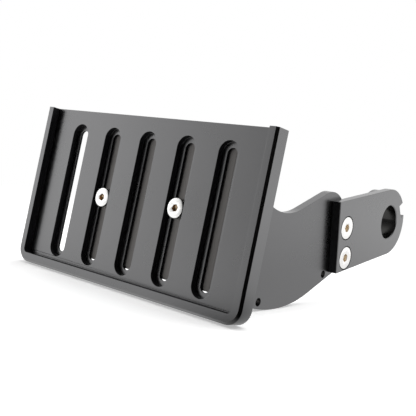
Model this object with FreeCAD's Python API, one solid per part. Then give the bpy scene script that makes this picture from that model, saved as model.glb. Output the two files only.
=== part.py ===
import FreeCAD
import Part
import math
import os

# License plate bracket that hangs beside the rear wheel of a motorbike.
# Sizes are in millimetres. Each piece is drawn in the tray's own axes: X to the right along the tray,
# Y to its back and Z up its face, from the middle of the lower edge of the rim's front.
# A reach is counted back from the tray's back face, and a height up from the tray's lower edge.

# Tray
plate_width = 177.8
plate_play = 0.7
tray_height = 105.95
side_rim = 5.65
bottom_rim = 6.0
rim_height = 5.2
floor_thickness = 5.1
rim_chamfer = 1.5
tray_corner_radius = 9.5
pocket_corner_radius = 3.0

# Stepped slots in the tray's floor
slot_count = 5
slot_pitch = 31.25
slot_width = 6.8
slot_step_width = 14.0
slot_step_depth = 3.55
slot_top_margin = 8.95
slot_bottom_margin = 2.4

# Bent arm behind the tray
arm_thickness = 6.0
arm_inset = 24.0
bend_radius = 6.0
flange_length = 116.5
flange_bottom = 13.7
flange_top = 96.0
flange_corner_radius = 10.0
valley_reach = 47.2
valley_height = 65.25
shoulder_angle = 27.8
arm_end_cover = 6.0
crest_radius = 19.3
belly_reach = 44.7
belly_height = 5.95
belly_angle = 29.3
arm_end_radius = 8.0

# Cable-tie holes along the arm's lower edge
tie_hole_diameter = 5.0
tie_hole_inset = 4.3
front_tie_reach = 39.8
rear_tie_offset = 19.5

# Link bar from the arm to the axle
axle_diameter = 24.0
axle_clearance = 0.2
axle_reach = 179.45
axle_height = 77.45
link_angle = 15.9
link_length = 73.3
link_width = 48.5
link_thickness = 6.0
bore_chamfer = 0.6
boss_diameter = 45.0
boss_length = 9.0
notch_width = 6.5
notch_depth = 5.9
notch_angle = 22.0

# Countersunk screws that fix the link to the arm
link_thread = 8.0
link_head_diameter = 16.0
link_head_rim = 0.3
link_hex = 5.0
link_hex_depth = 3.0
link_screw_setback = 10.7
link_screw_spacing = 20.6
link_screw_shift = -5.05

# Low-head screws that clamp the tray to the flange
tray_thread = 6.0
tray_head_diameter = 12.0
tray_head_height = 2.6
tray_head_chamfer = 0.5
tray_hex = 4.0
tray_hex_depth = 1.7
left_screw_height = 52.4
right_screw_height = 54.6

# Fits and finishes shared by the pieces
thread_gap = 0.1
seat_gap = 0.05
clearance_gap = 0.4
screw_end_gap = 0.4
screw_tip_chamfer = 0.6
edge_break = 0.4
cut_margin = 1.0

# Sizes that follow from the ones above
pocket_width = plate_width + 2 * plate_play
tray_width = pocket_width + 2 * side_rim
tray_depth = rim_height + floor_thickness
step_floor = rim_height + slot_step_depth
slot_top = tray_height - slot_top_margin
slot_bottom = bottom_rim + slot_bottom_margin
arm_face = tray_width / 2 - arm_inset
arm_back = arm_face - arm_thickness
flange_back = tray_depth + arm_thickness
link_face = arm_face + link_thickness
boss_back = arm_face - boss_length
bore_radius = axle_diameter / 2 + axle_clearance
end_radius = link_width / 2
x_axis = FreeCAD.Vector(1, 0, 0)
y_axis = FreeCAD.Vector(0, 1, 0)
z_axis = FreeCAD.Vector(0, 0, 1)


def front_point(x, z):
    return FreeCAD.Vector(x, 0, z)


def plan_point(x, y):
    return FreeCAD.Vector(x, y, 0)


def side_point(y, z):
    return FreeCAD.Vector(0, y, z)


def heading(degrees):
    # Unit direction on the side view, turned upwards from straight back.
    return side_point(math.cos(math.radians(degrees)), math.sin(math.radians(degrees)))


def line(start, end):
    return Part.LineSegment(start, end).toShape()


def arc(start, middle, end):
    return Part.Arc(start, middle, end).toShape()


def side_arc(centre, radius, first, last):
    # Arc on the side view between two headings in degrees.
    middle = (first + last) / 2
    return arc(*[centre + heading(degrees) * radius for degrees in (first, middle, last)])


def slab(edges, thickness):
    # Closed outline made solid along a vector.
    return Part.Face(Part.Wire(edges)).extrude(thickness)


def turned(profile, start, direction):
    # Solid of revolution: each profile point is a radius and a depth from the start.
    points = [FreeCAD.Vector(radius, 0, depth) for radius, depth in profile]
    solid = Part.Face(Part.makePolygon(points + points[:1])).revolve(FreeCAD.Vector(), z_axis, 360)
    solid.Placement = FreeCAD.Placement(start, FreeCAD.Rotation(z_axis, direction))
    return solid


def hex_socket(across_flats, depth, start, direction):
    corner_radius = across_flats / math.sqrt(3)
    turns = [math.radians(60 * corner) for corner in range(7)]
    points = [plan_point(corner_radius * math.cos(turn), corner_radius * math.sin(turn)) for turn in turns]
    socket = Part.Face(Part.makePolygon(points)).extrude(z_axis * depth)
    socket.Placement = FreeCAD.Placement(start, FreeCAD.Rotation(z_axis, direction))
    return socket


def edges_where(solid, test):
    # Edges whose middle point passes the test.
    return [edge for edge in solid.Edges if test(edge.valueAt(sum(edge.ParameterRange) / 2))]


def tray_outline(half_width, bottom, top, radius):
    # Square at the top, with two rounded lower corners.
    bend = radius * (1 - math.sqrt(0.5))
    top_left = front_point(-half_width, top)
    top_right = front_point(half_width, top)
    left_side = front_point(-half_width, bottom + radius)
    left_bend = front_point(bend - half_width, bottom + bend)
    left_foot = front_point(radius - half_width, bottom)
    right_foot = front_point(half_width - radius, bottom)
    right_bend = front_point(half_width - bend, bottom + bend)
    right_side = front_point(half_width, bottom + radius)
    return [
        line(top_right, top_left),
        line(top_left, left_side),
        arc(left_side, left_bend, left_foot),
        line(left_foot, right_foot),
        arc(right_foot, right_bend, right_side),
        line(right_side, top_right),
    ]


def slot_place(index):
    return (index - (slot_count - 1) / 2) * slot_pitch


def slot_cut(x, width, depth):
    # Round-ended upright slot about the step's own end centres, cut in from the rim's front.
    radius = width / 2
    low = slot_bottom + slot_step_width / 2
    high = slot_top - slot_step_width / 2
    return slab([
        line(front_point(x - radius, low), front_point(x - radius, high)),
        arc(front_point(x - radius, high), front_point(x, high + radius), front_point(x + radius, high)),
        line(front_point(x + radius, high), front_point(x + radius, low)),
        arc(front_point(x + radius, low), front_point(x, low - radius), front_point(x - radius, low)),
    ], y_axis * depth)


def plate_tray():
    blank = slab(tray_outline(tray_width / 2, 0, tray_height, tray_corner_radius), y_axis * tray_depth)
    below_top = tray_height - tray_corner_radius / 4
    rim_edges = edges_where(blank, lambda p: p.y < tray_depth / 4 and p.z < below_top)
    blank = blank.makeChamfer(rim_chamfer, rim_edges)
    pocket_top = tray_height + cut_margin
    pocket_outline = tray_outline(pocket_width / 2, bottom_rim, pocket_top, pocket_corner_radius)
    cuts = [slab(pocket_outline, y_axis * rim_height)]
    for index in range(slot_count):
        cuts.append(slot_cut(slot_place(index), slot_step_width, step_floor))
        cuts.append(slot_cut(slot_place(index), slot_width, tray_depth + cut_margin))
    return blank.cut(cuts)


def level_arc(reach, height, corner_height):
    # Arc that leaves the flange's back corner and is level at the given place: its centre and radius.
    run = tray_depth + reach - flange_back
    drop = corner_height - height
    radius = (run ** 2 + drop ** 2) / (2 * drop)
    return side_point(tray_depth + reach, height + radius), radius


valley_centre, valley_radius = level_arc(valley_reach, valley_height, flange_top)
belly_centre, belly_radius = level_arc(belly_reach, belly_height, flange_bottom)
belly_end = belly_centre + heading(belly_angle - 90) * belly_radius
axle_centre = side_point(tray_depth + axle_reach, axle_height)
link_along = heading(link_angle)
link_across = heading(link_angle + 90)


def link_screw_places():
    foot = axle_centre - link_along * (link_length - link_screw_setback) + link_across * link_screw_shift
    return [foot + link_across * (half * link_screw_spacing) for half in (0.5, -0.5)]


def tray_screw_places():
    return [
        front_point(-slot_pitch, left_screw_height),
        front_point(slot_pitch, right_screw_height),
    ]


def tie_hole_places():
    front_turn = math.degrees(math.asin((front_tie_reach - belly_reach) / (belly_radius - tie_hole_inset)))
    front = belly_centre + heading(front_turn - 90) * (belly_radius - tie_hole_inset)
    rear = belly_end + heading(belly_angle) * rear_tie_offset + heading(belly_angle + 90) * tie_hole_inset
    return [front, rear]


def meeting_point(first, first_angle, second, second_angle):
    # Where two straight edges on the side view cross.
    step = heading(first_angle)
    other = heading(second_angle)
    gap = second - first
    run = (gap.y * other.z - gap.z * other.y) / (step.y * other.z - step.z * other.y)
    return first + step * run


def arm_outline():
    # Side view of flange and arm, round from the flange's lower front corner.
    flange_turn = math.degrees(math.atan2(flange_top - valley_centre.z, flange_back - valley_centre.y))
    belly_turn = math.degrees(math.atan2(flange_bottom - belly_centre.z, flange_back - belly_centre.y))
    valley_end = valley_centre + heading(shoulder_angle - 90) * valley_radius
    crest_fall = heading(shoulder_angle - 90) * crest_radius
    crest_setback = link_length - link_screw_setback - arm_end_cover + crest_radius
    crest_foot = axle_centre - link_along * crest_setback
    crest_centre = meeting_point(valley_end + crest_fall, shoulder_angle, crest_foot, link_angle + 90)
    crest_start = crest_centre - crest_fall
    crest_end = crest_centre + link_along * crest_radius
    corner = meeting_point(crest_end, link_angle - 90, belly_end, belly_angle)
    half_corner = math.radians(90 - link_angle + belly_angle) / 2
    corner_cut = arm_end_radius / math.tan(half_corner)
    corner_start = corner - heading(link_angle - 90) * corner_cut
    corner_end = corner - heading(belly_angle) * corner_cut
    corner_centre = corner_start - link_along * arm_end_radius
    foot = side_point(tray_depth, flange_bottom)
    head = side_point(tray_depth, flange_top)
    return [
        line(foot, head),
        line(head, side_point(flange_back, flange_top)),
        side_arc(valley_centre, valley_radius, flange_turn % 360, shoulder_angle + 270),
        line(valley_end, crest_start),
        side_arc(crest_centre, crest_radius, shoulder_angle + 90, link_angle),
        line(crest_end, corner_start),
        side_arc(corner_centre, arm_end_radius, link_angle, belly_angle - 90),
        line(corner_end, belly_end),
        side_arc(belly_centre, belly_radius, belly_angle + 270, belly_turn % 360),
        line(side_point(flange_back, flange_bottom), foot),
    ]


def bent_strip(length):
    # Plan of flange, bend and arm, made solid from below the belly to above the flange.
    outer = bend_radius + arm_thickness
    bend_x = arm_face - outer
    bend_y = tray_depth + outer
    left = arm_face - flange_length
    inner_way = bend_radius * math.sqrt(0.5)
    outer_way = outer * math.sqrt(0.5)
    strip = slab([
        line(plan_point(left, tray_depth), plan_point(bend_x, tray_depth)),
        arc(plan_point(bend_x, tray_depth), plan_point(bend_x + outer_way, bend_y - outer_way),
            plan_point(arm_face, bend_y)),
        line(plan_point(arm_face, bend_y), plan_point(arm_face, length)),
        line(plan_point(arm_face, length), plan_point(arm_back, length)),
        line(plan_point(arm_back, length), plan_point(arm_back, bend_y)),
        arc(plan_point(arm_back, bend_y), plan_point(bend_x + inner_way, bend_y - inner_way),
            plan_point(bend_x, flange_back)),
        line(plan_point(bend_x, flange_back), plan_point(left, flange_back)),
        line(plan_point(left, flange_back), plan_point(left, tray_depth)),
    ], z_axis * (flange_top + 2 * cut_margin))
    return strip.translated(z_axis * -cut_margin)


def side_arm():
    profile = slab(arm_outline(), x_axis * tray_width).translated(x_axis * (-tray_width / 2))
    arm = profile.common(bent_strip(axle_centre.y))
    middle = plan_point(arm_face - flange_length, (tray_depth + flange_back) / 2)
    corners = [middle + z_axis * height for height in (flange_bottom, flange_top)]
    corner_edges = edges_where(arm, lambda p: any(p.isEqual(corner, cut_margin) for corner in corners))
    arm = arm.makeFillet(flange_corner_radius, corner_edges)
    holes = []
    for place in tray_screw_places():
        holes.append(Part.makeCylinder(tray_thread / 2 + thread_gap, 2 * flange_back, place, y_axis))
    for place in link_screw_places():
        holes.append(Part.makeCylinder(link_thread / 2 + thread_gap, tray_width, place, x_axis))
    for place in tie_hole_places():
        holes.append(Part.makeCylinder(tie_hole_diameter / 2, tray_width, place, x_axis))
    return arm.cut(holes)


def link_seat(place):
    # Countersink and clearance hole for one link screw, cut in from the link's face.
    rim_radius = link_head_diameter / 2 + seat_gap
    hole_radius = link_thread / 2 + clearance_gap
    return turned([
        (0, -cut_margin),
        (rim_radius, -cut_margin),
        (rim_radius, link_head_rim),
        (hole_radius, link_head_rim + rim_radius - hole_radius),
        (hole_radius, link_thickness + cut_margin),
        (0, link_thickness + cut_margin),
    ], place + x_axis * link_face, -x_axis)


def end_notch():
    # Keyway cut straight in towards the axle from the link's round end.
    inward = heading(link_angle + notch_angle)
    half = heading(link_angle + notch_angle + 90) * (notch_width / 2)
    floor = axle_centre + inward * (end_radius - notch_depth)
    mouth = axle_centre + inward * (end_radius + cut_margin)
    corners = [floor - half, mouth - half, mouth + half, floor + half]
    edges = [line(corners[index - 1], corners[index]) for index in range(4)]
    return slab(edges, x_axis * tray_width)


def axle_link():
    square_end = axle_centre - link_along * link_length
    half = link_across * end_radius
    bar = slab([
        line(square_end - half, square_end + half),
        line(square_end + half, axle_centre + half),
        side_arc(axle_centre, end_radius, link_angle + 90, link_angle - 90),
        line(axle_centre - half, square_end - half),
    ], x_axis * link_thickness).translated(x_axis * arm_face)
    face_edges = edges_where(bar, lambda p: p.x > link_face - link_thickness / 4)
    bar = bar.makeChamfer(edge_break, face_edges)
    boss_radius = boss_diameter / 2
    boss = turned([
        (0, 0),
        (boss_radius - edge_break, 0),
        (boss_radius, edge_break),
        (boss_radius, boss_length + link_thickness / 2),
        (0, boss_length + link_thickness / 2),
    ], axle_centre + x_axis * boss_back, x_axis)
    bore_length = boss_length + link_thickness
    bore = turned([
        (0, -cut_margin),
        (bore_radius + bore_chamfer + cut_margin, -cut_margin),
        (bore_radius, bore_chamfer),
        (bore_radius, bore_length + cut_margin),
        (0, bore_length + cut_margin),
    ], axle_centre + x_axis * link_face, -x_axis)
    seats = [link_seat(place) for place in link_screw_places()]
    return bar.fuse(boss).cut([bore, end_notch()] + seats)


def link_screw(place):
    head_radius = link_head_diameter / 2
    shank_radius = link_thread / 2
    length = link_thickness + arm_thickness - screw_end_gap
    face = place + x_axis * link_face
    body = turned([
        (0, 0),
        (head_radius, 0),
        (head_radius, link_head_rim),
        (shank_radius, link_head_rim + head_radius - shank_radius),
        (shank_radius, length - screw_tip_chamfer),
        (shank_radius - screw_tip_chamfer, length),
        (0, length),
    ], face, -x_axis)
    return body.cut(hex_socket(link_hex, link_hex_depth, face, -x_axis))


def tray_screw(place):
    head_radius = tray_head_diameter / 2
    shank_radius = tray_thread / 2
    length = tray_head_height + flange_back - step_floor - screw_end_gap
    face = place + y_axis * (step_floor - tray_head_height)
    body = turned([
        (0, 0),
        (head_radius - tray_head_chamfer, 0),
        (head_radius, tray_head_chamfer),
        (head_radius, tray_head_height),
        (shank_radius, tray_head_height),
        (shank_radius, length - screw_tip_chamfer),
        (shank_radius - screw_tip_chamfer, length),
        (0, length),
    ], face, y_axis)
    return body.cut(hex_socket(tray_hex, tray_hex_depth, face, y_axis))


def resting_lean():
    # Lean in degrees at which the tray's lower back edge and the arm's belly share one level.
    rise = belly_centre.z
    run = belly_centre.y - tray_depth
    return math.degrees(math.atan2(rise, run) - math.asin(belly_radius / math.hypot(rise, run)))


pieces = {
    "plate_tray": plate_tray(),
    "side_arm": side_arm(),
    "axle_link": axle_link(),
    "link_screws": Part.makeCompound([link_screw(place) for place in link_screw_places()]),
    "tray_screws": Part.makeCompound([tray_screw(place) for place in tray_screw_places()]),
}

# The bracket leans back until it stands by itself, with the origin under the middle of its box.
for piece in pieces.values():
    piece.rotate(FreeCAD.Vector(), x_axis, -resting_lean())
box = Part.makeCompound(list(pieces.values())).optimalBoundingBox(False, False)
origin = FreeCAD.Vector(box.Center.x, box.Center.y, box.ZMin)
os.makedirs("parts", exist_ok=True)
for name, piece in pieces.items():
    piece.translate(-origin)
    piece.exportStep("parts/" + name + ".step")
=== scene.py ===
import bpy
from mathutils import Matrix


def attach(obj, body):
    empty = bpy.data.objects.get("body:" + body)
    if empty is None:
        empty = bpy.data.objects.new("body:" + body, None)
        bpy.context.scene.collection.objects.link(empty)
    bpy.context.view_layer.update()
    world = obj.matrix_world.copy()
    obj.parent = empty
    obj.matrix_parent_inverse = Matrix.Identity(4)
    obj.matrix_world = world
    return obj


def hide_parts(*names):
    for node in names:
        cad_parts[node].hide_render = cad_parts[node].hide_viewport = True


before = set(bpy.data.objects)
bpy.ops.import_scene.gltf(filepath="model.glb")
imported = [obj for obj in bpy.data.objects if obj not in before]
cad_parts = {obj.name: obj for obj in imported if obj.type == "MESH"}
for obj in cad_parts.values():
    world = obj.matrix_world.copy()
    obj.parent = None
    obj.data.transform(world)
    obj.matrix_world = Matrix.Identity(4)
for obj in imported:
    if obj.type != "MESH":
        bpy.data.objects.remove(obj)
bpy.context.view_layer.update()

import math

import bpy
from mathutils import Matrix, Vector

scene = bpy.context.scene
scene.view_settings.view_transform = "Standard"

mm = 0.001
leanAngle = math.radians(6.707898)  # the tray leans back by this much at rest


# small helpers for working as in the viewport

def deselectAll():
    if bpy.context.object and bpy.context.object.mode != "OBJECT":
        bpy.ops.object.mode_set(mode="OBJECT")
    bpy.ops.object.select_all(action="DESELECT")


def pickOnly(piece):
    deselectAll()
    piece.select_set(True)
    bpy.context.view_layer.objects.active = piece


def applyModifiers(piece):
    pickOnly(piece)
    for modifier in list(piece.modifiers):
        bpy.ops.object.modifier_apply(modifier=modifier.name)


def cutWith(piece, cutter):
    cut = piece.modifiers.new("cut", "BOOLEAN")
    cut.operation = "DIFFERENCE"
    cut.solver = "EXACT"
    cut.object = cutter
    applyModifiers(piece)
    bpy.data.objects.remove(cutter)


softPlan = {"segments": 2, "smoothAngle": math.radians(32)}


def softenEdges(piece, width, sharpAngle):
    soften = piece.modifiers.new("softEdges", "BEVEL")
    soften.width = width
    soften.segments = softPlan["segments"]
    soften.limit_method = "ANGLE"
    soften.angle_limit = sharpAngle
    soften.use_clamp_overlap = False
    applyModifiers(piece)
    bpy.ops.object.shade_smooth_by_angle(angle=softPlan["smoothAngle"])


def giveMaterial(piece, *materials):
    piece.data.materials.clear()
    for material in materials:
        piece.data.materials.append(material)


def addNode(tree, kind, x, y, **settings):
    node = tree.nodes.new(kind)
    node.location = (x, y)
    for name, value in settings.items():
        setattr(node, name, value)
    return node


def addRange(tree, x, y, span, result=(0, 1), **settings):
    node = addNode(tree, "ShaderNodeMapRange", x, y, **settings)
    for name, value in zip(("From Min", "From Max", "To Min", "To Max"), (*span, *result)):
        node.inputs[name].default_value = value
    return node


# camera, at the photograph's place and with its tilt

cameraPlan = {
    "place": (0.30168, -0.39909, 0.08575),
    "right": (0.76170, 0.63496, 0.12900),
    "down": (0.14444, 0.02767, -0.98912),
    "forward": (-0.63162, 0.77205, -0.07064),
    "lens": 60.886,
    "sensor": 36,
    "nearest": 0.01,
}


def makeCamera():
    deselectAll()
    bpy.ops.object.camera_add(location=cameraPlan["place"])
    camera = bpy.context.object
    camera.name = "photoCamera"
    right = Vector(cameraPlan["right"])
    down = Vector(cameraPlan["down"])
    forward = Vector(cameraPlan["forward"])
    turn = Matrix((right, -down, -forward)).transposed().to_4x4()
    camera.matrix_world = Matrix.Translation(cameraPlan["place"]) @ turn
    camera.data.lens = cameraPlan["lens"]
    camera.data.sensor_width = cameraPlan["sensor"]
    camera.data.clip_start = cameraPlan["nearest"]
    scene.camera = camera
    print("camera placed")


# studio: white all round, with the dark side where the camera stands

studioPlan = {
    "darkSide": Vector((0.632, -0.772, 0.07)).normalized(),
    "levels": [  # brightness of the room, from the far side round to the dark side
        (0.0, 1.30), (0.40, 1.25), (0.50, 0.99), (0.56, 0.93), (0.62, 0.80),
        (0.68, 0.36), (0.74, 0.05), (0.82, 0.006), (1.0, 0.004),
    ],
    "lampAim": (0, 0, 0.04),
    "topLamp": {"place": (0.15, 0.35, 1.3), "size": 1.4, "watts": 14.0, "mirrored": False},
    "sideLamp": {"place": (-1.62, -0.85, 0.35), "size": 1.2, "watts": 1.35, "mirrored": True},
}


def makeWorld():
    world = bpy.data.worlds.new("studioWorld")
    scene.world = world
    world.use_nodes = True
    tree = world.node_tree
    tree.nodes.clear()
    coords = addNode(tree, "ShaderNodeTexCoord", -900, 0)
    toward = addNode(tree, "ShaderNodeVectorMath", -700, 0, operation="DOT_PRODUCT")
    toward.inputs[1].default_value = studioPlan["darkSide"]
    half = addNode(tree, "ShaderNodeMath", -520, 0, operation="MULTIPLY_ADD")  # -1..1 to 0..1
    half.inputs[1].default_value = 0.5
    half.inputs[2].default_value = 0.5
    ramp = addNode(tree, "ShaderNodeValToRGB", -340, 0)
    ramp.color_ramp.interpolation = "B_SPLINE"
    stops = ramp.color_ramp.elements
    while len(stops) < len(studioPlan["levels"]):
        stops.new(0.5)
    for stop, (place, level) in zip(stops, studioPlan["levels"]):
        stop.position = place
        stop.color = (level, level, level, 1)
    lightPath = addNode(tree, "ShaderNodeLightPath", -340, 320)
    seen = addNode(tree, "ShaderNodeMix", 0, 100, data_type="RGBA")
    seen.inputs["B"].default_value = (1, 1, 1, 1)
    shine = addNode(tree, "ShaderNodeBackground", 200, 100)
    out = addNode(tree, "ShaderNodeOutputWorld", 400, 100)
    links = tree.links
    links.new(coords.outputs["Generated"], toward.inputs[0])
    links.new(toward.outputs["Value"], half.inputs[0])
    links.new(half.outputs[0], ramp.inputs["Fac"])
    links.new(lightPath.outputs["Is Camera Ray"], seen.inputs["Factor"])
    links.new(ramp.outputs["Color"], seen.inputs["A"])
    links.new(seen.outputs["Result"], shine.inputs["Color"])
    links.new(shine.outputs["Background"], out.inputs["Surface"])


def makeLamp(name, plan):
    deselectAll()
    bpy.ops.object.light_add(type="AREA", location=plan["place"])
    lamp = bpy.context.object
    lamp.name = name
    lamp.data.shape = "DISK"
    lamp.data.size = plan["size"]
    lamp.data.energy = plan["watts"]
    aim = Vector(studioPlan["lampAim"]) - Vector(plan["place"])
    lamp.rotation_euler = aim.to_track_quat("-Z", "Y").to_euler()
    lamp.visible_glossy = plan["mirrored"]
    lamp.visible_camera = False


floorPlan = {
    "radius": 4.0,
    "sides": 64,
    "colour": (0.86, 0.86, 0.86, 1.0),
    "lift": 0.36,
    "whitens": (0.20, 0.75),  # plain white from here outwards
    "mirroredSpan": (0.15, 0.95),  # how bright the pieces mirror it, from near to far
    "mirroredLevel": (0.84, 1.22),
    "darkReach": (0.125, 0.155),  # the part of it on the dark side
    "darkWedge": (0.70, 0.95),
}


def makeFloor():
    deselectAll()
    bpy.ops.mesh.primitive_circle_add(
        vertices=floorPlan["sides"], radius=floorPlan["radius"], fill_type="NGON")
    floor = bpy.context.object
    floor.name = "studioFloor"
    material = bpy.data.materials.new("paleFloor")
    material.use_nodes = True
    tree = material.node_tree
    tree.nodes.clear()
    links = tree.links
    coords = addNode(tree, "ShaderNodeTexCoord", -900, 0)
    distance = addNode(tree, "ShaderNodeVectorMath", -700, 0, operation="LENGTH")
    lightPath = addNode(tree, "ShaderNodeLightPath", -900, 400)
    links.new(coords.outputs["Object"], distance.inputs[0])

    # straight on: matte near the piece and white further out
    far = addRange(tree, -500, 0, floorPlan["whitens"], interpolation_type="SMOOTHSTEP")
    seen = addNode(tree, "ShaderNodeMath", -700, 400, operation="MAXIMUM")
    whiteShare = addNode(tree, "ShaderNodeMath", -300, 200, operation="MULTIPLY")
    lift = addNode(tree, "ShaderNodeMath", -300, 400, operation="MULTIPLY")
    lift.inputs[1].default_value = floorPlan["lift"]
    matte = addNode(tree, "ShaderNodeBsdfDiffuse", -100, 100)
    matte.inputs["Color"].default_value = floorPlan["colour"]
    glow = addNode(tree, "ShaderNodeEmission", -100, 400)
    near = addNode(tree, "ShaderNodeAddShader", 100, 200)
    white = addNode(tree, "ShaderNodeEmission", 100, 0)
    both = addNode(tree, "ShaderNodeMixShader", 300, 200)
    links.new(distance.outputs["Value"], far.inputs["Value"])
    links.new(lightPath.outputs["Is Camera Ray"], seen.inputs[0])
    links.new(lightPath.outputs["Is Transmission Ray"], seen.inputs[1])
    links.new(far.outputs["Result"], whiteShare.inputs[0])
    links.new(seen.outputs[0], whiteShare.inputs[1])
    links.new(seen.outputs[0], lift.inputs[0])
    links.new(lift.outputs[0], glow.inputs["Strength"])
    links.new(matte.outputs[0], near.inputs[0])
    links.new(glow.outputs[0], near.inputs[1])
    links.new(whiteShare.outputs[0], both.inputs["Fac"])
    links.new(near.outputs[0], both.inputs[1])
    links.new(white.outputs[0], both.inputs[2])

    # mirrored in the piece: brighter with distance, and dark on the dark side
    toward = addNode(tree, "ShaderNodeVectorMath", -700, -300, operation="DOT_PRODUCT")
    toward.inputs[1].default_value = studioPlan["darkSide"]
    wedge = addNode(tree, "ShaderNodeMath", -600, -300, operation="DIVIDE")
    darkWedge = addRange(tree, -500, -300, floorPlan["darkWedge"], interpolation_type="SMOOTHSTEP")
    darkReach = addRange(tree, -500, -450, floorPlan["darkReach"], interpolation_type="SMOOTHSTEP")
    darkShare = addNode(tree, "ShaderNodeMath", -400, -300, operation="MULTIPLY")
    litShare = addNode(tree, "ShaderNodeMath", -350, -300, operation="SUBTRACT")
    litShare.inputs[0].default_value = 1.0
    level = addRange(tree, -500, -550, floorPlan["mirroredSpan"], floorPlan["mirroredLevel"])
    strength = addNode(tree, "ShaderNodeMath", -300, -400, operation="MULTIPLY")
    mirrored = addNode(tree, "ShaderNodeEmission", 100, -300)
    links.new(coords.outputs["Object"], toward.inputs[0])
    links.new(toward.outputs["Value"], wedge.inputs[0])
    links.new(distance.outputs["Value"], wedge.inputs[1])
    links.new(wedge.outputs[0], darkWedge.inputs["Value"])
    links.new(distance.outputs["Value"], darkReach.inputs["Value"])
    links.new(darkWedge.outputs["Result"], darkShare.inputs[0])
    links.new(darkReach.outputs["Result"], darkShare.inputs[1])
    links.new(darkShare.outputs[0], litShare.inputs[1])
    links.new(distance.outputs["Value"], level.inputs["Value"])
    links.new(litShare.outputs[0], strength.inputs[0])
    links.new(level.outputs["Result"], strength.inputs[1])
    links.new(strength.outputs[0], mirrored.inputs["Strength"])

    choice = addNode(tree, "ShaderNodeMixShader", 500, 200)
    out = addNode(tree, "ShaderNodeOutputMaterial", 700, 200)
    links.new(lightPath.outputs["Is Glossy Ray"], choice.inputs["Fac"])
    links.new(both.outputs[0], choice.inputs[1])
    links.new(mirrored.outputs[0], choice.inputs[2])
    links.new(choice.outputs[0], out.inputs["Surface"])
    giveMaterial(floor, material)


# finishes

def makeGrainGroup():
    # fine blasted grain under the black coat, and slow change of gloss over the faces
    group = bpy.data.node_groups.new("blastedGrain", "ShaderNodeTree")
    face = group.interface
    face.new_socket(name="Vector", in_out="INPUT", socket_type="NodeSocketVector")
    for name in ("Grain Scale", "Cloud Scale", "Roughness", "Rough Spread", "Shade Spread"):
        face.new_socket(name=name, in_out="INPUT", socket_type="NodeSocketFloat")
    face.new_socket(name="Tone", in_out="INPUT", socket_type="NodeSocketColor")
    face.new_socket(name="Color", in_out="OUTPUT", socket_type="NodeSocketColor")
    face.new_socket(name="Roughness", in_out="OUTPUT", socket_type="NodeSocketFloat")
    face.new_socket(name="Height", in_out="OUTPUT", socket_type="NodeSocketFloat")
    given = addNode(group, "NodeGroupInput", -900, 0)
    result = addNode(group, "NodeGroupOutput", 600, 0)
    grain = addNode(group, "ShaderNodeTexNoise", -600, 200)
    grain.inputs["Detail"].default_value = 2.0
    cloud = addNode(group, "ShaderNodeTexNoise", -600, -100)
    cloud.inputs["Detail"].default_value = 3.0
    centred = addNode(group, "ShaderNodeMath", -380, -100, operation="SUBTRACT")
    centred.inputs[1].default_value = 0.5
    gloss = addNode(group, "ShaderNodeMath", -160, -60, operation="MULTIPLY_ADD")
    shade = addNode(group, "ShaderNodeMath", -160, -260, operation="MULTIPLY_ADD")
    shade.inputs[2].default_value = 1.0
    tone = addNode(group, "ShaderNodeVectorMath", 60, -260, operation="SCALE")
    links = group.links
    links.new(given.outputs["Vector"], grain.inputs["Vector"])
    links.new(given.outputs["Vector"], cloud.inputs["Vector"])
    links.new(given.outputs["Grain Scale"], grain.inputs["Scale"])
    links.new(given.outputs["Cloud Scale"], cloud.inputs["Scale"])
    links.new(cloud.outputs["Fac"], centred.inputs[0])
    links.new(centred.outputs[0], gloss.inputs[0])
    links.new(given.outputs["Rough Spread"], gloss.inputs[1])
    links.new(given.outputs["Roughness"], gloss.inputs[2])
    links.new(centred.outputs[0], shade.inputs[0])
    links.new(given.outputs["Shade Spread"], shade.inputs[1])
    links.new(given.outputs["Tone"], tone.inputs[0])
    links.new(shade.outputs[0], tone.inputs["Scale"])
    links.new(tone.outputs["Vector"], result.inputs["Color"])
    links.new(gloss.outputs[0], result.inputs["Roughness"])
    links.new(grain.outputs["Fac"], result.inputs["Height"])
    return group


blastedGrain = makeGrainGroup()


def makeMetal(name, plan):
    material = bpy.data.materials.new(name)
    material.use_nodes = True
    tree = material.node_tree
    shader = tree.nodes["Principled BSDF"]
    shader.inputs["Metallic"].default_value = plan["metallic"]
    shader.inputs["Specular IOR Level"].default_value = plan["gleam"]
    coords = addNode(tree, "ShaderNodeTexCoord", -900, 200)
    grain = addNode(tree, "ShaderNodeGroup", -650, 200, node_tree=blastedGrain)
    grain.inputs["Grain Scale"].default_value = plan["grainScale"]
    grain.inputs["Cloud Scale"].default_value = plan["cloudScale"]
    grain.inputs["Roughness"].default_value = plan["roughness"]
    grain.inputs["Rough Spread"].default_value = plan["roughSpread"]
    grain.inputs["Shade Spread"].default_value = plan["shadeSpread"]
    grain.inputs["Tone"].default_value = plan["tone"]
    bump = addNode(tree, "ShaderNodeBump", -350, -100)
    bump.inputs["Strength"].default_value = plan["bump"]
    bump.inputs["Distance"].default_value = plan["bumpDepth"]
    links = tree.links
    links.new(coords.outputs["Object"], grain.inputs["Vector"])
    links.new(grain.outputs["Color"], shader.inputs["Base Color"])
    links.new(grain.outputs["Roughness"], shader.inputs["Roughness"])
    links.new(grain.outputs["Height"], bump.inputs["Height"])
    links.new(bump.outputs["Normal"], shader.inputs["Normal"])
    return material


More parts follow.
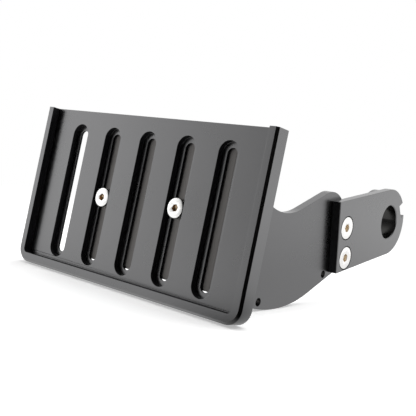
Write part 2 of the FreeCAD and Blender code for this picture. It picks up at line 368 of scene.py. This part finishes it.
satinPlan = {  # the black coat, from which the other finishes start
    "tone": (0.200, 0.200, 0.203, 1.0),
    "metallic": 1.0,
    "gleam": 0.5,
    "roughness": 0.28,
    "roughSpread": 0.06,
    "shadeSpread": 0.08,
    "grainScale": 2600.0,
    "cloudScale": 45.0,
    "bump": 0.12,
    "bumpDepth": 0.00004,
}
socketSteel = {"roughness": 0.34, "shadeSpread": 0.15, "cloudScale": 600.0, "grainScale": 5200.0}
finishPlans = {
    "trayBlackSatin": {},
    "armBlackSatin": {"tone": (0.173, 0.173, 0.176, 1.0), "cloudScale": 38.0},
    "linkBlackSatin": {"tone": (0.207, 0.207, 0.210, 1.0), "cloudScale": 52.0},
    "flangeDullBlack": {"tone": (0.165, 0.158, 0.153, 1.0), "roughness": 0.42},
    # painted shade: near-black walls in the slots, rims, tie holes and screw seats, and on the link's
    # end face toward the arm, standing in for the shade in these recesses
    "cutWallPaintedShade": {
        "tone": (0.010, 0.010, 0.011, 1.0), "metallic": 0.0, "gleam": 0.12, "roughness": 0.55},
    # painted shade: the bore's walls are darkened to stand in for the shade inside the bore
    "boreMetalPaintedShade": {"tone": (0.060, 0.059, 0.058, 1.0), "roughness": 0.20},
    # painted shade: the screw heads' sides are dark, as painted shade and painted reflection at the
    # heads' sides
    "headSidePaintedShade": {"tone": (0.12, 0.12, 0.12, 1.0), "roughness": 0.30},
    "screwBrightSteel": {
        "tone": (0.99, 0.985, 0.97, 1.0), "roughness": 0.20,
        "shadeSpread": 0.04, "cloudScale": 300.0, "grainScale": 5200.0},
    # the sockets' own brownish plating tone, darker as painted shade in the tray screws' sockets and
    # lighter as painted light in the link screws' sockets
    "traySocketTintPaintedShade": {"tone": (0.62, 0.46, 0.30, 1.0), **socketSteel},
    "linkSocketTintPaintedLight": {"tone": (0.92, 0.82, 0.68, 1.0), **socketSteel},
}
finishes = {name: makeMetal(name, {**satinPlan, **changes}) for name, changes in finishPlans.items()}
print("finishes made")


# plates: the solids' own forms with their sharp edges taken off

trayFoot = Vector((0, -110.9615, 1.2031)) * mm
trayUp = Vector((0, math.sin(leanAngle), math.cos(leanAngle)))
trayOut = Vector((0, -math.cos(leanAngle), math.sin(leanAngle)))
facing = {"wall": 0.6, "flat": 0.95, "end": 0.9}  # how far a face's normal points one way
closeBy = 0.02 * mm
platePlan = {"merge": 0.002 * mm, "flatAngle": math.radians(0.3), "sharpAngle": math.radians(50)}


def heightOf(point):
    return (point - trayFoot).dot(trayUp)


def depthOf(point):
    return -(point - trayFoot).dot(trayOut)


def makePlate(nodeName, plan, pickFace, reshape=None):
    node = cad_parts[nodeName]
    pickOnly(node)
    bpy.ops.object.duplicate()
    piece = bpy.context.object
    piece.name = plan["piece"]
    piece.parent = None
    for key in list(piece.keys()):  # the node's own notes
        del piece[key]
    pickOnly(piece)
    bpy.ops.object.mode_set(mode="EDIT")
    bpy.ops.mesh.select_all(action="SELECT")
    bpy.ops.mesh.customdata_custom_splitnormals_clear()
    bpy.ops.mesh.remove_doubles(threshold=platePlan["merge"])
    bpy.ops.mesh.dissolve_limited(angle_limit=platePlan["flatAngle"])
    bpy.ops.object.mode_set(mode="OBJECT")
    if reshape:
        reshape(piece)
    softenEdges(piece, plan["edge"], platePlan["sharpAngle"])
    flatten = piece.modifiers.new("flatFaces", "WEIGHTED_NORMAL")
    flatten.keep_sharp = True
    flatten.weight = 100
    applyModifiers(piece)
    giveMaterial(piece, *[finishes[name] for name in plan["finishes"]])
    for face in piece.data.polygons:
        face.material_index = pickFace(face.center, face.normal)
    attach(piece, "root")
    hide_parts(nodeName)
    print("plate", plan["piece"], len(piece.data.polygons), "faces")


trayPlan = {
    "piece": "trayBody",
    "slot": "tray_black",
    "finishes": ["trayBlackSatin", "cutWallPaintedShade"],
    "edge": 0.22 * mm,
    "innerSide": 89.9 * mm,  # the slots' and rims' walls lie inside these
    "innerHeights": (3.0 * mm, 104.0 * mm),
}


def pickTrayFace(centre, normal):
    low, high = trayPlan["innerHeights"]
    inside = abs(centre.x) < trayPlan["innerSide"] and low < heightOf(centre) < high
    # the walls inside take the near-black painted shade finish
    return 1 if inside and abs(normal.dot(trayOut)) < facing["wall"] else 0


armPlan = {
    "piece": "armBody",
    "slot": "arm_black",
    "finishes": ["armBlackSatin", "cutWallPaintedShade", "flangeDullBlack"],
    "edge": 0.30 * mm,
    "tiePlaces": [Vector((71.25, -59.9926, 5.6549)) * mm, Vector((71.25, 11.0568, 19.1734)) * mm],
    "tieReach": 2.7 * mm,
    "bendX": 59.25 * mm,
    "bendDepth": 22.3 * mm,
    "bendRadius": 12.0 * mm,
    "tightRadius": 7.4 * mm,
    "flangeFoot": 13.7 * mm,
    "flangeEnd": -45.25 * mm,
    "flangeCorner": 10.0 * mm,
    "footDrop": 1.0 * mm,
    "dropDepth": 35.0 * mm,
}


def pickArmFace(centre, normal):
    if normal.dot(trayOut) > facing["flat"]:
        return 2
    inHole = min((centre - place).yz.length for place in armPlan["tiePlaces"]) < armPlan["tieReach"]
    # the tie holes' walls take the near-black painted shade finish
    return 1 if inHole and abs(normal.x) < facing["wall"] else 0


def tightenBend(piece):
    # the flange stays flat nearly to the arm's outer face, as seen through the right-hand slot
    radius = armPlan["bendRadius"]
    change = radius - armPlan["tightRadius"]
    for vertex in piece.data.vertices:
        across = vertex.co.x - armPlan["bendX"]
        deep = depthOf(vertex.co) - armPlan["bendDepth"]
        onBend = abs(math.hypot(across, deep) - radius) < closeBy
        if onBend and across > -closeBy and deep < closeBy:
            vertex.co.x += change * (1 - across / radius)
            vertex.co += trayOut * change * (1 + deep / radius)


def lowerFlange(piece):
    # the lower edge as it shows at the slots' lower ends, run out into the arm's own curve
    foot, drop = armPlan["flangeFoot"], armPlan["footDrop"]
    cornerX = armPlan["flangeEnd"] + armPlan["flangeCorner"]
    cornerTop = foot + armPlan["flangeCorner"]
    for vertex in piece.data.vertices:
        height = heightOf(vertex.co)
        if vertex.co.x < cornerX + closeBy and height < cornerTop + closeBy:
            vertex.co -= trayUp * drop
        elif depthOf(vertex.co) < armPlan["dropDepth"] and foot - drop < height < foot + closeBy:
            vertex.co += trayUp * (foot - drop - height)


def reshapeArm(piece):
    tightenBend(piece)
    lowerFlange(piece)


linkPlan = {
    "piece": "linkBody",
    "slot": "link_black",
    "finishes": ["linkBlackSatin", "cutWallPaintedShade", "boreMetalPaintedShade"],
    "edge": 0.15 * mm,
    "axle": Vector((77.25, 86.5363, 55.9587)) * mm,
    "slope": math.radians(9.192),
    "boreRadius": 12.21 * mm,
    "boreSides": 128,
    "boreReach": 12.5 * mm,
    "seatReach": 8.3 * mm,
    "cutLength": 60.0 * mm,
    "notchWidth": 10.4 * mm,
    "notchLength": 20.0 * mm,
    "notchFloor": 18.35 * mm,
    "notchShift": -1.95 * mm,
    "notchAngle": math.radians(31.192),
}


def pickLinkFace(centre, normal):
    fromAxle = (centre - linkPlan["axle"]).yz.length
    # the bore's walls take the darkened painted shade finish
    if abs(normal.x) < facing["wall"] and fromAxle < linkPlan["boreReach"]:
        return 2
    fromScrew = min((centre - Vector(place) * mm).yz.length for place in linkScrewPlan["places"])
    inSeat = fromScrew < linkPlan["seatReach"] and normal.x < facing["flat"]
    along = Vector((0, math.cos(linkPlan["slope"]), math.sin(linkPlan["slope"])))
    # the screw seats and the link's end face toward the arm take the near-black painted shade finish
    return 1 if inSeat or normal.dot(along) < -facing["end"] else 0


def cutLink(piece):
    # the bore in a rounder circle, and the notch as wide as it shows
    deselectAll()
    bpy.ops.mesh.primitive_cylinder_add(
        vertices=linkPlan["boreSides"], radius=linkPlan["boreRadius"], depth=linkPlan["cutLength"],
        location=linkPlan["axle"], rotation=(0, math.pi / 2, 0))
    cutWith(piece, bpy.context.object)
    angle = linkPlan["notchAngle"]
    outward = Vector((0, math.cos(angle), math.sin(angle)))
    upward = Vector((0, -outward.z, outward.y))
    reach = linkPlan["notchFloor"] + linkPlan["notchLength"] / 2
    deselectAll()
    bpy.ops.mesh.primitive_cube_add(
        size=1, location=linkPlan["axle"] + outward * reach + upward * linkPlan["notchShift"],
        rotation=(angle, 0, 0),
        scale=(linkPlan["cutLength"], linkPlan["notchLength"], linkPlan["notchWidth"]))
    cutWith(piece, bpy.context.object)


# screws, turned from the tip up, then the socket is sunk into the head

trayScrewPlan = {
    "piece": "trayScrews",
    "profile": [  # radius and height in mm
        (2.35, -9.75), (2.95, -9.15), (2.95, -2.6), (5.9, -2.6), (6.0, -2.5), (6.0, -0.25), (5.75, 0.0),
    ],
    "socket": "traySocketTintPaintedShade",
    "hex": 4.0,
    "hexDepth": 1.7,
    "places": [(-31.25, -98.7329, 52.5261), (31.25, -98.4759, 54.7110)],
    "tilt": (math.pi / 2 - leanAngle, 0, 0),
    "spin": [11, 40],
}
linkScrewPlan = {
    "piece": "linkScrews",
    "profile": [(3.35, -11.6), (3.95, -11.0), (3.95, -4.3), (7.5, -0.79), (7.5, -0.12), (7.38, 0.0)],
    "socket": "linkSocketTintPaintedLight",
    "hex": 5.0,
    "hexDepth": 3.0,
    "places": [(77.25, 23.9015, 51.1412), (77.25, 27.1923, 30.8058)],
    "tilt": (0, math.pi / 2, 0),
    "spin": [4, 26],
}
screwPlan = {
    "sides": 72,
    "edge": 0.12 * mm,
    "sharpAngle": math.radians(40),
    "pointDepth": 0.35,  # of the hexagon's depth
    "pointTip": 0.1,
    "socketReach": 1.05,  # of the hexagon's corner radius
    "socketTop": -0.06 * mm,
    "sideTop": -0.3 * mm,
    "sideFacing": 0.3,
}


def turnScrew(plan):
    deselectAll()
    radius, height = plan["profile"][0]
    bpy.ops.mesh.primitive_circle_add(
        vertices=screwPlan["sides"], radius=radius * mm, fill_type="NGON", location=(0, 0, 0))
    screw = bpy.context.object
    bpy.ops.object.mode_set(mode="EDIT")
    bpy.ops.mesh.select_all(action="SELECT")
    bpy.ops.transform.translate(value=(0, 0, height * mm))
    for nextRadius, nextHeight in plan["profile"][1:]:
        bpy.ops.mesh.extrude_region_move(
            TRANSFORM_OT_translate={"value": (0, 0, (nextHeight - height) * mm)})
        scale = nextRadius / radius
        bpy.ops.transform.resize(value=(scale, scale, 1), center_override=(0, 0, nextHeight * mm))
        radius, height = nextRadius, nextHeight
    bpy.ops.mesh.select_all(action="SELECT")
    bpy.ops.mesh.normals_make_consistent(inside=False)
    bpy.ops.object.mode_set(mode="OBJECT")
    return screw


def sinkSocket(screw, plan):
    deselectAll()
    radius = plan["hex"] / math.sqrt(3) * mm
    depth = plan["hexDepth"] * mm
    bpy.ops.mesh.primitive_cylinder_add(vertices=6, radius=radius, depth=2 * depth, location=(0, 0, 0))
    cutter = bpy.context.object
    bpy.ops.object.mode_set(mode="EDIT")
    bpy.ops.mesh.select_all(action="DESELECT")
    bpy.ops.object.mode_set(mode="OBJECT")
    for face in cutter.data.polygons:
        face.select = face.normal.z < -facing["end"]
    bpy.ops.object.mode_set(mode="EDIT")
    # the drill point under the hexagon
    bpy.ops.mesh.extrude_region_move(
        TRANSFORM_OT_translate={"value": (0, 0, -screwPlan["pointDepth"] * depth)})
    bpy.ops.transform.resize(value=(screwPlan["pointTip"], screwPlan["pointTip"], 1))
    bpy.ops.object.mode_set(mode="OBJECT")
    cutWith(screw, cutter)
    softenEdges(screw, screwPlan["edge"], screwPlan["sharpAngle"])
    # the heads' sides take the dark painted shade finish; the sockets take their plating tone with
    # painted shade or painted light
    giveMaterial(
        screw, finishes["screwBrightSteel"], finishes[plan["socket"]], finishes["headSidePaintedShade"])
    reach = screwPlan["socketReach"] * radius
    for face in screw.data.polygons:
        height = face.center.z
        inSocket = face.center.xy.length < reach and -2 * depth < height < screwPlan["socketTop"]
        onSide = abs(face.normal.z) < screwPlan["sideFacing"] and height < screwPlan["sideTop"]
        face.material_index = 1 if inSocket else 2 if onSide else 0


def makeScrews(plan, nodeName):
    first = turnScrew(plan)
    sinkSocket(first, plan)
    copies = [first]
    for _ in plan["places"][1:]:
        pickOnly(first)
        bpy.ops.object.duplicate()
        copies.append(bpy.context.object)
    for screw, place, spin in zip(copies, plan["places"], plan["spin"]):
        turn = Matrix.Rotation(math.radians(spin), 4, "Z")
        screw.data.transform(turn)
        screw.rotation_euler = plan["tilt"]
        screw.location = Vector(place) * mm
    deselectAll()
    for screw in copies:
        screw.select_set(True)
    bpy.context.view_layer.objects.active = first
    bpy.ops.object.transform_apply(location=True, rotation=True, scale=True)
    bpy.ops.object.join()
    first.name = plan["piece"]
    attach(first, "root")
    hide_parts(nodeName)
    print("screws", plan["piece"], len(first.data.polygons), "faces")


makeCamera()
makeWorld()
makeLamp("topSoftbox", studioPlan["topLamp"])
makeLamp("sideSoftbox", studioPlan["sideLamp"])
makeFloor()
print("studio lit")

makePlate("plate_tray", trayPlan, pickTrayFace)
makePlate("side_arm", armPlan, pickArmFace, reshapeArm)
makePlate("axle_link", linkPlan, pickLinkFace, cutLink)
makeScrews(trayScrewPlan, "tray_screws")
makeScrews(linkScrewPlan, "link_screws")
